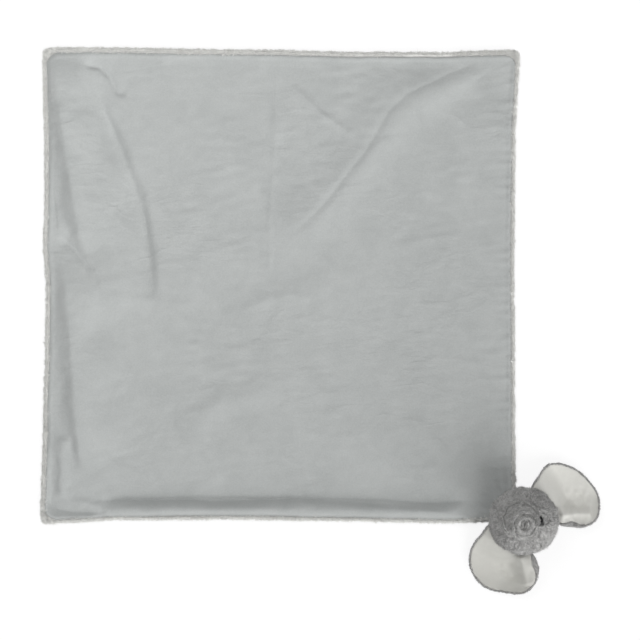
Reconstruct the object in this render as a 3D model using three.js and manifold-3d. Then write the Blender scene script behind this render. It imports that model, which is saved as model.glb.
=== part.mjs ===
// Comfort blanket: a square of two plush fabrics with a stuffed elephant head sewn to one corner.
// It lies flat with the smooth side and the elephant's face up. Millimetres, +Z up.
// The origin is at the middle of the blanket's underside.
import * as THREE from 'three';
import { mergeVertices } from 'three/addons/utils/BufferGeometryUtils.js';
import Module from 'manifold-3d';

const wasm = await Module();
wasm.setup();

// Gaps
const seamGap = 0.3; // between pieces that are sewn or pressed together
const runningGap = 0.4; // round the pieces that move or pass through another

// Blanket
const blanketSide = 500; // finished square, edge to edge
const blanketCornerRadius = 9;
const foldDrawing = 500; // side of the blanket that the folds' lines were laid out on
const backThickness = 5; // backing and pressed pile of the long-pile side
const rimWidth = 5; // long-pile fabric that rolls up round the edge
const rimHeight = 9;
const rimRounding = 2;
const frontThickness = 2.5; // short-pile side
const seamLineWidth = 1.2; // row of stitches between the rim and the front
const seamLineDrop = 1; // how far the stitches sink below the front
const foldFade = 45; // the folds die out over this distance from the edges and the neck
const frontCells = 30; // squares of the front's grid, each way

// Head, in its own frame: x to the elephant's right ear, y to the blanket, z out of the face
const headPastCorner = new THREE.Vector2(6.5, 2.5); // from the blanket's corner to the head's middle
const headPlace = new THREE.Vector2(blanketSide / 2, -blanketSide / 2).add(headPastCorner);
const headTurn = THREE.MathUtils.degToRad(45);
const headWidth = 67;
const headLength = 66;
const headHeight = 66;
const headFlat = 1; // how deep the back of the head is pressed flat
const skinThickness = 1.5;
const muzzleSwell = 3; // how far the face rises round the trunk
const muzzleSpread = 0.5; // radians
const headSteps = 28; // sides of the head's form
const gussetWidth = 24; // centre panel from the trunk over the crown
const chinLine = 22.5; // seam between the centre panel and the chin, under the trunk
const neckLine = 36; // the cloth bends here, just in front of the chin
const threadRadius = 0.5;
const neckStitchSpan = 1.2; // radians of the chin that the closing stitch runs round

// Trunk, a ball-shaped root in the head with a tapered tube on it
const trunkToNeck = 10; // how far the trunk's root lies from the head's middle, to the blanket
const trunkSink = 5.7; // depth of the root's middle below the head's form
const trunkRootRadius = 15.2;
const trunkLength = 47; // from the root's middle to the tip
const trunkTipRadius = 10;
const trunkTipDome = 7;
const trunkLean = new THREE.Vector2(-1.2, -2); // how far the tip leans sideways and to the crown
const trunkNeckAngle = THREE.MathUtils.degToRad(54); // where the tube leaves the root's ball
const trunkOpeningRadius = 8;
const trunkSides = 20;

// Ears, in a frame at the root: x away from the head, y to the blanket
const earReach = 34; // from the head's middle to the line the ear folds on
const earTurn = THREE.MathUtils.degToRad(-15);
const earRootHeight = 20;
const earLieHeight = 2; // the ear's underside where it lies flat
const earDrop = 24; // distance over which the ear comes down from the root
const earCup = 5; // how far the rim stands above the middle
const earCurl = 7; // how much further the rim on the crown's side curls up
const earBackThickness = 2.6;
const earFrontThickness = 1.6;
const earBorder = 3; // grey rim left round the pale front
const earRings = 5;
const earSteps = 28;
const earOutline = [
  [-8, 8], [-6, 22], [5, 29], [18, 31.5], [32, 27], [44, 11], [49, -10],
  [45, -27], [35, -40], [21, -45], [5, -38], [-5, -27], [-8, -10],
];

// Eyes, raised pads of satin stitch
const eyePlace = new THREE.Vector2(12, -5);
const eyeRadius = 4.1;
const eyeRise = 1.6;

// Folds in the front, as lines across it: positive heights are ridges
const folds = [
  { height: 6, width: 26, line: [[-198, 218], [-191, 189], [-162, 101], [-146, 40], [-145, -34]] },
  { height: -1.5, width: 20, line: [[-236, 243], [-233, 154], [-226, 90], [-215, 59]] },
  { height: -1.5, width: 20, line: [[-230, 2], [-225, -55], [-220, -165], [-202, -205]] },
  { height: 5, width: 30, line: [[231, 236], [160, 189], [115, 140], [72, 84], [24, 30]] },
  { height: 4, width: 26, line: [[-113, -172], [-74, -136], [-45, -130], [4, -112]] },
  { height: 3, width: 24, line: [[8, 218], [43, 183], [89, 152]] },
  { height: 3, width: 24, line: [[-45, -27], [11, -9]] },
  { height: 3, width: 24, line: [[136, -140], [189, -197]] },
];

// Materials
const shortPile = { color: 0xb4b7b6, roughness: 0.9 };
const longPile = { color: 0xb0aeaa, roughness: 1 };
const headPile = { color: 0x8d8c8b, roughness: 1 };
const earPile = { color: 0xd2d1cb, roughness: 0.9 };
const filling = { color: 0xf2f2ee, roughness: 1 };
const thread = { color: 0x8a8c8c, roughness: 0.7 };
const eyeThread = { color: 0x16161a, roughness: 0.5 };

// Solids
function solidOf(geometry) {
  geometry.deleteAttribute('normal');
  geometry.deleteAttribute('uv');
  const merged = mergeVertices(geometry, 1e-4);
  const mesh = new wasm.Mesh({
    numProp: 3,
    vertProperties: new Float32Array(merged.attributes.position.array),
    triVerts: new Uint32Array(merged.index.array),
  });
  return new wasm.Manifold(mesh);
}

function geometryOf(solid) {
  const mesh = solid.getMesh();
  const geometry = new THREE.BufferGeometry();
  geometry.setAttribute('position', new THREE.BufferAttribute(mesh.vertProperties, 3));
  geometry.setIndex(new THREE.BufferAttribute(mesh.triVerts, 1));
  geometry.computeVertexNormals();
  return geometry;
}

function piece(name, solid, look) {
  const material = new THREE.MeshStandardMaterial({ metalness: 0, ...look });
  const mesh = new THREE.Mesh(geometryOf(solid), material);
  mesh.name = name;
  return mesh;
}

function smooth(low, high, value) {
  return THREE.MathUtils.smoothstep(value, low, high);
}

// A closed skin between two surfaces over the same rings of points, whose last ring is the rim
function plate(rings, steps, pointAt, lowAt, highAt) {
  const positions = [];
  const indices = [];
  const sheetSize = 1 + rings * steps;
  for (const heightAt of [lowAt, highAt]) {
    const middle = pointAt(0, 0);
    positions.push(middle.x, middle.y, heightAt(middle, 0));
    for (let ring = 1; ring <= rings; ring += 1) {
      for (let step = 0; step < steps; step += 1) {
        const share = ring / rings;
        const point = pointAt(share, step / steps);
        positions.push(point.x, point.y, heightAt(point, share));
      }
    }
  }
  const vertex = (sheet, ring, step) => sheet * sheetSize + 1 + (ring - 1) * steps + (step % steps);
  for (let step = 0; step < steps; step += 1) {
    indices.push(0, vertex(0, 1, step + 1), vertex(0, 1, step));
    indices.push(sheetSize, vertex(1, 1, step), vertex(1, 1, step + 1));
    for (let ring = 1; ring < rings; ring += 1) {
      const low = [vertex(0, ring, step), vertex(0, ring, step + 1)];
      const lowOut = [vertex(0, ring + 1, step), vertex(0, ring + 1, step + 1)];
      const high = [vertex(1, ring, step), vertex(1, ring, step + 1)];
      const highOut = [vertex(1, ring + 1, step), vertex(1, ring + 1, step + 1)];
      indices.push(low[0], low[1], lowOut[1], low[0], lowOut[1], lowOut[0]);
      indices.push(high[0], highOut[1], high[1], high[0], highOut[0], highOut[1]);
    }
    const lowRim = [vertex(0, rings, step), vertex(0, rings, step + 1)];
    const highRim = [vertex(1, rings, step), vertex(1, rings, step + 1)];
    indices.push(lowRim[0], lowRim[1], highRim[1], lowRim[0], highRim[1], highRim[0]);
  }
  const geometry = new THREE.BufferGeometry();
  geometry.setAttribute('position', new THREE.Float32BufferAttribute(positions, 3));
  geometry.setIndex(indices);
  return geometry;
}

// Blanket
function roundedSquare(side, radius) {
  const half = side / 2;
  const shape = new THREE.Shape();
  shape.absarc(half - radius, half - radius, radius, 0, Math.PI / 2);
  shape.absarc(radius - half, half - radius, radius, Math.PI / 2, Math.PI);
  shape.absarc(radius - half, radius - half, radius, Math.PI, Math.PI * 1.5);
  shape.absarc(half - radius, radius - half, radius, Math.PI * 1.5, Math.PI * 2);
  shape.closePath();
  return shape;
}

function squareBlock(inset, low, high) {
  const shape = roundedSquare(blanketSide - 2 * inset, Math.max(blanketCornerRadius - inset, 1));
  const geometry = new THREE.ExtrudeGeometry(shape, {
    depth: high - low,
    bevelEnabled: false,
    curveSegments: 6,
  });
  geometry.translate(0, 0, low);
  return solidOf(geometry);
}

function roundedSquareBlock(high) {
  const shape = roundedSquare(blanketSide - 2 * rimRounding, blanketCornerRadius - rimRounding);
  const geometry = new THREE.ExtrudeGeometry(shape, {
    depth: high - 2 * rimRounding,
    bevelThickness: rimRounding,
    bevelSize: rimRounding,
    bevelSegments: 3,
    curveSegments: 6,
  });
  geometry.translate(0, 0, rimRounding);
  return solidOf(geometry);
}

// Half space beyond a line across the neck, as a block in the head's frame turned into the blanket's
function beyondNeck(line) {
  const reach = blanketSide * 2;
  const geometry = new THREE.BoxGeometry(reach, reach, reach);
  geometry.translate(0, line - reach / 2, 0);
  geometry.rotateZ(headTurn);
  geometry.translate(headPlace.x, headPlace.y, 0);
  return solidOf(geometry);
}

function distanceToLine(x, y, line) {
  const point = new THREE.Vector3(x, y, 0);
  const nearest = new THREE.Vector3();
  const stretch = new THREE.Line3();
  let least = Infinity;
  for (let i = 1; i < line.length; i += 1) {
    stretch.set(new THREE.Vector3(...line[i - 1], 0), new THREE.Vector3(...line[i], 0));
    stretch.closestPointToPoint(point, true, nearest);
    least = Math.min(least, nearest.distanceTo(point));
  }
  return least;
}

function foldHeight(x, y) {
  const size = blanketSide / foldDrawing;
  const toEdge = blanketSide / 2 - Math.max(Math.abs(x), Math.abs(y));
  const along = ((headPlace.x - x) - (headPlace.y - y)) / Math.SQRT2;
  const fade = smooth(0, foldFade / 2, toEdge) * smooth(neckLine, neckLine + foldFade, along);
  let height = 0;
  for (const fold of folds) {
    const line = fold.line.map(([lineX, lineY]) => [lineX * size, lineY * size]);
    const away = distanceToLine(x, y, line);
    height += fold.height * (1 - smooth(0, fold.width, away));
  }
  return Math.max(height, -frontThickness / 2) * fade;
}

const frontLow = backThickness + seamGap;
const frontTop = frontLow + frontThickness;

function foldedSheet(inset) {
  const positions = [];
  const indices = [];
  const rowSize = frontCells + 1;
  const span = blanketSide - 2 * inset;
  for (let row = 0; row < rowSize; row += 1) {
    for (let column = 0; column < rowSize; column += 1) {
      const x = span * (column / frontCells - 0.5);
      const y = span * (row / frontCells - 0.5);
      positions.push(x, y, frontTop + foldHeight(x, y));
    }
  }
  const top = (column, row) => row * rowSize + column;
  for (let row = 0; row < frontCells; row += 1) {
    for (let column = 0; column < frontCells; column += 1) {
      const [a, b] = [top(column, row), top(column + 1, row)];
      const [c, d] = [top(column + 1, row + 1), top(column, row + 1)];
      indices.push(a, b, c, a, c, d);
    }
  }
  const border = [];
  for (let i = 0; i < frontCells; i += 1) border.push(top(i, 0));
  for (let i = 0; i < frontCells; i += 1) border.push(top(frontCells, i));
  for (let i = frontCells; i > 0; i -= 1) border.push(top(i, frontCells));
  for (let i = frontCells; i > 0; i -= 1) border.push(top(0, i));
  const firstLow = positions.length / 3;
  for (const vertex of border) {
    positions.push(positions[3 * vertex], positions[3 * vertex + 1], frontLow);
  }
  const middle = positions.length / 3;
  positions.push(0, 0, frontLow);
  for (let i = 0; i < border.length; i += 1) {
    const next = (i + 1) % border.length;
    indices.push(border[i], firstLow + i, firstLow + next, border[i], firstLow + next, border[next]);
    indices.push(middle, firstLow + next, firstLow + i);
  }
  const geometry = new THREE.BufferGeometry();
  geometry.setAttribute('position', new THREE.Float32BufferAttribute(positions, 3));
  geometry.setIndex(indices);
  return solidOf(geometry);
}

const frontInset = rimWidth + 2 * seamGap + seamLineWidth;
const cornerFrontInset = rimWidth + seamGap;
const tallest = rimHeight + Math.max(...folds.map((fold) => Math.abs(fold.height))) + frontThickness;
const mainSide = beyondNeck(neckLine + seamGap / 2);
const cornerSide = beyondNeck(neckLine - seamGap / 2);

const backPanel = roundedSquareBlock(rimHeight).subtract(squareBlock(rimWidth, backThickness, tallest));
const frontPanel = foldedSheet(frontInset).intersect(squareBlock(frontInset, frontLow, tallest * 2));
const cornerFrontPanel = squareBlock(cornerFrontInset, frontLow, frontTop);
const seamTop = frontTop - seamLineDrop;
const seamRing = squareBlock(rimWidth + seamGap, frontLow, seamTop).subtract(
  squareBlock(rimWidth + seamGap + seamLineWidth, frontLow - 1, tallest),
);

const blanket = new THREE.Group();
blanket.add(piece('blanket_back', backPanel.subtract(mainSide), longPile));
blanket.add(piece('blanket_front', frontPanel.subtract(mainSide), shortPile));
blanket.add(piece('edge_seam', seamRing.subtract(mainSide), thread));

// Head
const headMiddle = headHeight / 2 - headFlat;

// Height of the head's plain form over a place on it, from its middle
function formHeight(x, y) {
  const left = 1 - (x / (headWidth / 2)) ** 2 - (y / (headLength / 2)) ** 2;
  return (headHeight / 2) * Math.sqrt(left);
}

const trunkRoot = new THREE.Vector3(0, trunkToNeck, 0);
trunkRoot.z = headMiddle + formHeight(0, trunkToNeck) - trunkSink;
const muzzleWay = trunkRoot.clone().sub(new THREE.Vector3(0, 0, headMiddle)).normalize();

// How far the head's outer fabric lies from its middle, in a direction of length 1
function headRadius(way) {
  const scaled = new THREE.Vector3(
    way.x / (headWidth / 2),
    way.y / (headLength / 2),
    way.z / (headHeight / 2),
  );
  const turn = way.angleTo(muzzleWay) / muzzleSpread;
  return 1 / scaled.length() + muzzleSwell * Math.exp(-turn * turn);
}

function headForm(outward) {
  const geometry = new THREE.SphereGeometry(1, headSteps, Math.round(headSteps * 0.6));
  geometry.rotateZ(Math.PI / 2);
  const spots = geometry.attributes.position;
  const spot = new THREE.Vector3();
  for (let i = 0; i < spots.count; i += 1) {
    spot.fromBufferAttribute(spots, i).normalize();
    spot.multiplyScalar(headRadius(spot) + outward);
    spots.setXYZ(i, spot.x, spot.y, spot.z + headMiddle);
  }
  return solidOf(geometry);
}

function block(lowX, highX, lowZ) {
  const reach = headWidth * 2;
  const geometry = new THREE.BoxGeometry(highX - lowX, reach * 2, reach);
  geometry.translate((lowX + highX) / 2, 0, lowZ + reach / 2);
  return solidOf(geometry);
}

// The blanket's corner that goes into the neck, with a gap all round, in the head's frame
function neckSpace() {
  const geometry = new THREE.ExtrudeGeometry(
    roundedSquare(blanketSide + 2 * runningGap, blanketCornerRadius),
    { depth: rimHeight + headHeight, bevelEnabled: false, curveSegments: 6 },
  );
  geometry.translate(-headPlace.x, -headPlace.y, runningGap - headHeight);
  geometry.rotateZ(-headTurn);
  return solidOf(geometry);
}

function trunkSocket(radius) {
  const geometry = new THREE.SphereGeometry(radius, 24, 16);
  geometry.translate(trunkRoot.x, trunkRoot.y, trunkRoot.z);
  return solidOf(geometry);
}

const reachSide = headWidth;
const aboveFloor = block(-reachSide, reachSide, 0);
const neck = neckSpace();
const socket = trunkSocket(trunkRootRadius + runningGap);
const skin = headForm(0)
  .intersect(aboveFloor)
  .subtract(headForm(-skinThickness))
  .subtract(neck)
  .subtract(socket);
const stuffing = headForm(-skinThickness - seamGap)
  .intersect(block(-reachSide, reachSide, skinThickness + seamGap))
  .subtract(neck)
  .subtract(socket);

const gussetHalf = gussetWidth / 2;
const middleStrip = skin.intersect(block(-gussetHalf, gussetHalf, 0));

// The part of a solid on one side of a line across the head, without the crumbs that cuts leave
function pastLine(solid, line, side) {
  const reach = headWidth * 2;
  const geometry = new THREE.BoxGeometry(reach, reach, reach * 2);
  geometry.translate(0, line + (side * reach) / 2, 0);
  const bodies = solid.intersect(solidOf(geometry)).decompose();
  return bodies.sort((a, b) => b.volume() - a.volume())[0];
}

function headStitch() {
  const height = rimHeight + runningGap + threadRadius;
  const drop = headMiddle - height - threadRadius;
  const narrowing = Math.sqrt(1 - (drop / (headHeight / 2)) ** 2);
  const outward = seamGap + threadRadius;
  const awayX = (headWidth / 2) * narrowing + outward;
  const awayY = (headLength / 2) * narrowing + outward;
  const points = [];
  const steps = 16;
  for (let i = 0; i <= steps; i += 1) {
    const turn = neckStitchSpan * (i / steps - 0.5);
    points.push(new THREE.Vector3(awayX * Math.sin(turn), awayY * Math.cos(turn), height));
  }
  const section = new THREE.Shape();
  section.absarc(0, 0, threadRadius, 0, Math.PI * 2);
  return solidOf(new THREE.ExtrudeGeometry(section, {
    steps,
    extrudePath: new THREE.CatmullRomCurve3(points),
    curveSegments: 4,
  }));
}

function eye(side) {
  const way = new THREE.Vector3(side * eyePlace.x, eyePlace.y, formHeight(eyePlace.x, eyePlace.y));
  way.normalize();
  const geometry = new THREE.SphereGeometry(1, 16, 10);
  geometry.scale(eyeRadius, eyeRadius, eyeRise + eyeRadius / 2);
  geometry.applyQuaternion(new THREE.Quaternion().setFromUnitVectors(new THREE.Vector3(0, 0, 1), way));
  const depth = headRadius(way) - eyeRadius / 2;
  geometry.translate(way.x * depth, way.y * depth, way.z * depth + headMiddle);
  return solidOf(geometry).subtract(headForm(seamGap));
}

const head = new THREE.Group();
head.position.set(headPlace.x, headPlace.y, 0);
head.rotation.z = headTurn;
head.add(piece('head_side_right', skin.intersect(block(gussetHalf + seamGap, reachSide, 0)), headPile));
head.add(piece('head_side_left', skin.intersect(block(-reachSide, -gussetHalf - seamGap, 0)), headPile));
head.add(piece('head_gusset', pastLine(middleStrip, chinLine - seamGap, -1), headPile));
head.add(piece('chin_panel', pastLine(middleStrip, chinLine, 1), headPile));
head.add(piece('head_stuffing', stuffing, filling));
head.add(piece('neck_stitch', headStitch(), thread));
head.add(piece('eye_right', eye(1), eyeThread));
head.add(piece('eye_left', eye(-1), eyeThread));

const corner = new THREE.Group();
corner.add(piece('corner_back', backPanel.intersect(cornerSide), longPile));
corner.add(piece('corner_front', cornerFrontPanel.intersect(cornerSide), shortPile));

// Trunk
function trunkForm(inward) {
  const ball = trunkRootRadius - inward;
  const neckHeight = ball * Math.sin(trunkNeckAngle);
  const neckRadius = ball * Math.cos(trunkNeckAngle);
  const tipRadius = trunkTipRadius - inward;
  const domeStart = trunkLength - trunkTipDome;
  const dome = trunkTipDome - inward;
  const profile = [];
  const ballSteps = 6;
  for (let i = 0; i <= ballSteps; i += 1) {
    const turn = -Math.PI / 2 + (i / ballSteps) * (trunkNeckAngle + Math.PI / 2);
    profile.push(new THREE.Vector2(ball * Math.cos(turn), ball * Math.sin(turn)));
  }
  const tubeSteps = 5;
  for (let i = 1; i <= tubeSteps; i += 1) {
    const share = i / tubeSteps;
    const radius = THREE.MathUtils.lerp(neckRadius, tipRadius, share);
    profile.push(new THREE.Vector2(radius, THREE.MathUtils.lerp(neckHeight, domeStart, share)));
  }
  const domeSteps = 3;
  for (let i = 1; i <= domeSteps; i += 1) {
    const turn = (i / domeSteps) * (Math.PI / 2);
    profile.push(new THREE.Vector2(tipRadius * Math.cos(turn), domeStart + dome * Math.sin(turn)));
  }
  profile[0].x = 0;
  profile[profile.length - 1].x = 0;
  const geometry = new THREE.LatheGeometry(profile, trunkSides);
  geometry.rotateX(Math.PI / 2);
  const spots = geometry.attributes.position;
  for (let i = 0; i < spots.count; i += 1) {
    const rise = Math.max(spots.getZ(i) - trunkRootRadius * Math.sin(trunkNeckAngle), 0) / trunkLength;
    const lean = rise * rise + rise * 0.5;
    spots.setXY(i, spots.getX(i) + trunkLean.x * lean, spots.getY(i) + trunkLean.y * lean);
  }
  geometry.translate(trunkRoot.x, trunkRoot.y, trunkRoot.z);
  return solidOf(geometry);
}

function trunkOpening() {
  const geometry = new THREE.CylinderGeometry(trunkOpeningRadius, trunkOpeningRadius, trunkRootRadius, trunkSides);
  geometry.rotateX(Math.PI / 2);
  geometry.translate(trunkRoot.x, trunkRoot.y, trunkRoot.z - trunkRootRadius);
  return solidOf(geometry);
}

const trunk = new THREE.Group();
const trunkSkin = trunkForm(0).subtract(trunkForm(skinThickness)).subtract(trunkOpening());
trunk.add(piece('trunk_skin', trunkSkin, headPile));
trunk.add(piece('trunk_stuffing', trunkForm(skinThickness + seamGap), filling));
head.add(trunk);

// Ears
const outlineCurve = new THREE.CatmullRomCurve3(
  earOutline.map(([x, y]) => new THREE.Vector3(x, y, 0)),
  true,
);
const earMiddle = new THREE.Vector3();
for (const [x, y] of earOutline) {
  earMiddle.add(new THREE.Vector3(x, y, 0).divideScalar(earOutline.length));
}
const earCrownEnd = Math.min(...earOutline.map(([, y]) => y));

function earLow(point, share) {
  const comingDown = 1 - smooth(0, earDrop, point.x);
  const curled = smooth(earCrownEnd / 3, earCrownEnd, point.y);
  const free = 1 - comingDown;
  const lie = earLieHeight + (earRootHeight - earLieHeight) * comingDown;
  return lie + free * (earCup * share ** 3 + earCurl * curled * share ** 2);
}

// A point of the ear's outline drawn in by a border, or of a smaller outline inside it
function earPoint(share, turn, border = 0) {
  const rim = outlineCurve.getPoint(turn).sub(earMiddle);
  const length = rim.length();
  return rim.multiplyScalar((share * (length - border)) / length).add(earMiddle);
}

function earBlock(border) {
  const shape = new THREE.Shape();
  for (let step = 0; step < earSteps; step += 1) {
    const point = earPoint(1, step / earSteps, border);
    if (step === 0) shape.moveTo(point.x, point.y);
    else shape.lineTo(point.x, point.y);
  }
  shape.closePath();
  return new THREE.ExtrudeGeometry(shape, { depth: headHeight, bevelEnabled: false });
}

function ontoSide(geometry, side) {
  geometry.translate(earReach, 0, 0);
  geometry.rotateZ(earTurn);
  if (side < 0) {
    const whole = geometry.index ? geometry : mergeVertices(geometry);
    whole.scale(-1, 1, 1);
    const corners = whole.index.array;
    for (let i = 0; i < corners.length; i += 3) {
      [corners[i], corners[i + 1]] = [corners[i + 1], corners[i]];
    }
    return solidOf(whole);
  }
  return solidOf(geometry);
}

function earPlate(low, high, side) {
  const geometry = plate(
    earRings,
    earSteps,
    (share, turn) => earPoint(share, 1 - turn),
    (point, share) => earLow(point, share) + low,
    (point, share) => earLow(point, share) + high,
  );
  return ontoSide(geometry, side).subtract(headForm(runningGap));
}

const earFrontLow = earBackThickness + seamGap;
for (const [name, side] of [['right', 1], ['left', -1]]) {
  const back = earPlate(0, earBackThickness, side);
  const front = earPlate(earFrontLow, earFrontLow + earFrontThickness, side);
  const pale = front.intersect(ontoSide(earBlock(earBorder), side));
  head.add(piece(`ear_${name}_back`, back, headPile));
  head.add(piece(`ear_${name}_front`, pale, earPile));
}

const comfortBlanket = new THREE.Group();
comfortBlanket.add(blanket, corner, head);

export default comfortBlanket;
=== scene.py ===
import math

import bpy
import numpy as np
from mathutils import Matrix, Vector


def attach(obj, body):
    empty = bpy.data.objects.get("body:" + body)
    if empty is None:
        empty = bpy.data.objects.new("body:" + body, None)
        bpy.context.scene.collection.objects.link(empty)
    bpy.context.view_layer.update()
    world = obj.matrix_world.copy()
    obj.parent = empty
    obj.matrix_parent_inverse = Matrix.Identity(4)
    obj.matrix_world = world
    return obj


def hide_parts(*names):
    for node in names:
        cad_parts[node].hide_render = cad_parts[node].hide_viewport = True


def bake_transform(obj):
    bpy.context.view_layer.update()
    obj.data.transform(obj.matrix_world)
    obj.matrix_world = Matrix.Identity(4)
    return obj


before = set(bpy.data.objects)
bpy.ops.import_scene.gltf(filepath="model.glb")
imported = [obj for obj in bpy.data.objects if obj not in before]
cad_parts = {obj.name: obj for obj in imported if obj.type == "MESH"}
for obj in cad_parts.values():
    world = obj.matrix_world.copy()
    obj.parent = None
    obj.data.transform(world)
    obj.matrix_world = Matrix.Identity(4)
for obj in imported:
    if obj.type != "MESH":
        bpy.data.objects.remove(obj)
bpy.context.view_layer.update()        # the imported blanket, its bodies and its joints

bpy.ops.object.select_all(action="DESELECT")

# Everything is in metres. The blanket lies flat with its smooth side up, the head on its lower right corner.

photo = {
    "seen": 0.681,            # width that the picture takes in at the blanket
    "distance": 1.6,          # from the lens to the blanket
    "aim": (0.0431, -0.0372),
    "plane": 0.008,
}

light = {
    "sky": 0.30,
    "keyStrength": 2.1,       # a wide soft lamp far off, from the picture's lower right
    "keyWidth": math.radians(55),
    "keyWay": (-0.55, 0.82, -0.65),
    "topPower": 10.2,
    "topSize": 0.8,
    "topPlace": (-0.40, 0.48, 1.35),
    "floor": (0.9, 0.9, 0.9),
    "floorGlow": 0.84,        # how much of the floor shines white to the camera
    "floorShadow": (0.20, 0.20, 0.20),
}

# Places on the head are in its own frame: x to the right ear, y to the blanket, z out of the face
head = {
    "place": (0.2565, -0.2475),
    "turn": math.radians(45),
    "size": (0.067, 0.066, 0.066),
    "flat": 0.001,            # how deep the back of the head is pressed in
    "swell": 0.003,           # the face rises round the trunk
    "swellSpread": 0.5,
    "skew": 0.02,             # pressed a little out of round
    "lumps": 0.0008,
    "lumpSize": 0.022,
    "gusset": 0.012,          # half the centre panel's width
    "chinEnd": math.radians(47),
    "chinStart": math.radians(-50),
    "chinColumns": 40,
    "gussetColumns": 94,
    "seamDepth": 0.0009,
    "seamWidth": 0.045,
    "skin": 0.0012,
    # painted shade on the skin under the pile
    "skinPaintedShade": 0.1,
    "rest": 0.0006,           # height of its underside over the floor
    "onCorner": 0.0054,       # how much higher it is over the blanket's corner
    "cornerEdge": (0.0005, 0.0035),
    "bald": 0.003,            # how far up from there its underside has no tufts
    "faceFrom": 0.05,         # height over the floor
    "around": 132,
    "rowsMiddle": 15,
    "rowsSide": 26,
    "tufts": {"side": 8000, "gusset": 6600, "chin": 2200},
    "pile": {"length": 0.0029, "thick": 0.0010, "lean": 0.7, "clump": 0.0050, "stray": 0.5, "combed": 0.35},
}


# Shader nodes

# Sets a node's inputs, each to a value or to another node's output
def setInputs(tree, node, inputs):
    for socket, value in inputs.items():
        if isinstance(value, bpy.types.NodeSocket):
            tree.links.new(value, node.inputs[socket])
        else:
            node.inputs[socket].default_value = value


def addNode(tree, kind, inputs, **settings):
    node = tree.nodes.new("ShaderNode" + kind)
    for name, value in settings.items():
        setattr(node, name, value)
    setInputs(tree, node, inputs)
    return node


def maths(tree, operation, *values, clamped=False):
    return addNode(tree, "Math", dict(enumerate(values)), operation=operation, use_clamp=clamped).outputs[0]


def emptied(holder):
    holder.use_nodes = True
    holder.node_tree.nodes.clear()
    return holder.node_tree


# 1 for rays of the camera and for reflections, so that both see the background white
def seenDirectly(tree):
    path = addNode(tree, "LightPath", {})
    seen = path.outputs["Is Camera Ray"]
    for kind in ("Is Glossy Ray", "Is Transmission Ray"):
        seen = maths(tree, "ADD", seen, path.outputs[kind], clamped=True)
    return seen


# Camera, light and floor

def makeCamera():
    x, y = photo["aim"]
    bpy.ops.object.camera_add(location=(x, y, photo["plane"] + photo["distance"]), rotation=(0, 0, 0))
    camera = bpy.context.object
    camera.name = "camera"
    camera.data.sensor_width = 36
    camera.data.lens = camera.data.sensor_width * photo["distance"] / photo["seen"]
    camera.data.clip_end = 20
    bpy.context.scene.camera = camera


def makeLight():
    way = Vector(light["keyWay"])
    bpy.ops.object.light_add(type="SUN", location=-2 * way, rotation=way.to_track_quat("-Z", "Y").to_euler())
    key = bpy.context.object
    key.name = "key"
    key.data.energy = light["keyStrength"]
    key.data.angle = light["keyWidth"]
    bpy.ops.object.light_add(type="AREA", location=light["topPlace"])
    top = bpy.context.object
    top.name = "top"
    top.data.energy = light["topPower"]
    top.data.size = light["topSize"]
    world = bpy.data.worlds.new("studio")
    bpy.context.scene.world = world
    tree = emptied(world)
    soft = addNode(tree, "Background", {"Color": (1, 1, 1, 1), "Strength": light["sky"]})
    white = addNode(tree, "Background", {"Color": (1, 1, 1, 1), "Strength": 1})
    mix = addNode(tree, "MixShader", {0: seenDirectly(tree), 1: soft.outputs[0], 2: white.outputs[0]})
    addNode(tree, "OutputWorld", {"Surface": mix.outputs[0]})


def makeFloor():
    bpy.ops.mesh.primitive_plane_add(size=8, location=(0, 0, -0.0004))
    floor = bpy.context.object
    floor.name = "floor"
    material = bpy.data.materials.new("paleFloor")
    tree = emptied(material)
    plain = addNode(tree, "BsdfDiffuse", {"Color": (*light["floor"], 1)})
    shade = addNode(tree, "BsdfDiffuse", {"Color": (*light["floorShadow"], 1)})
    glow = addNode(tree, "Emission", {"Strength": light["floorGlow"]})
    both = addNode(tree, "AddShader", {0: shade.outputs[0], 1: glow.outputs[0]})
    mix = addNode(tree, "MixShader", {0: seenDirectly(tree), 1: plain.outputs[0], 2: both.outputs[0]})
    addNode(tree, "OutputMaterial", {"Surface": mix.outputs[0]})
    floor.data.materials.append(material)


makeCamera()
makeLight()
makeFloor()
bpy.context.scene.view_settings.view_transform = "Standard"
print("camera, light and floor made")


# Shared tools

def smooth(low, high, value):
    t = np.clip((value - low) / (high - low), 0, 1)
    return t * t * (3 - 2 * t)


# Soft hills and hollows from -1 to 1, about as wide as size, the same each run for one seed
def hills(points, size, seed, count=14):
    rng = np.random.default_rng(seed)
    ways = rng.normal(size=(count, 3))
    ways /= np.linalg.norm(ways, axis=1)[:, None]
    rates = 2 * math.pi / size * rng.uniform(0.6, 1.5, count)
    starts = rng.uniform(0, 2 * math.pi, count)
    turns = points @ (ways * rates[:, None]).T + starts
    return np.sin(turns).sum(axis=1) / math.sqrt(count * 0.5) * 0.5


def rough(points, depthAndSize, seed, count=14):
    depth, size = depthAndSize
    return depth * hills(points, size, seed, count)


def turnsRound(count):
    return np.linspace(0, 2 * math.pi, count, endpoint=False)


def linked(name, mesh):
    piece = bpy.data.objects.new(name, mesh)
    bpy.context.scene.collection.objects.link(piece)
    return piece


def newObject(name, points, faces):
    mesh = bpy.data.meshes.new(name)
    mesh.from_pydata([tuple(p) for p in points], [], [tuple(f) for f in faces])
    mesh.validate()
    mesh.update()
    return linked(name, mesh)


# Selects the pieces and makes the first the active one
def chosen(*pieces):
    bpy.ops.object.select_all(action="DESELECT")
    for piece in pieces:
        piece.select_set(True)
    bpy.context.view_layer.objects.active = pieces[0]


def joined(*pieces):
    chosen(*pieces)
    bpy.ops.object.join()
    return pieces[0]


def smoothShaded(piece):
    for polygon in piece.data.polygons:
        polygon.use_smooth = True
    return piece


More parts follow.
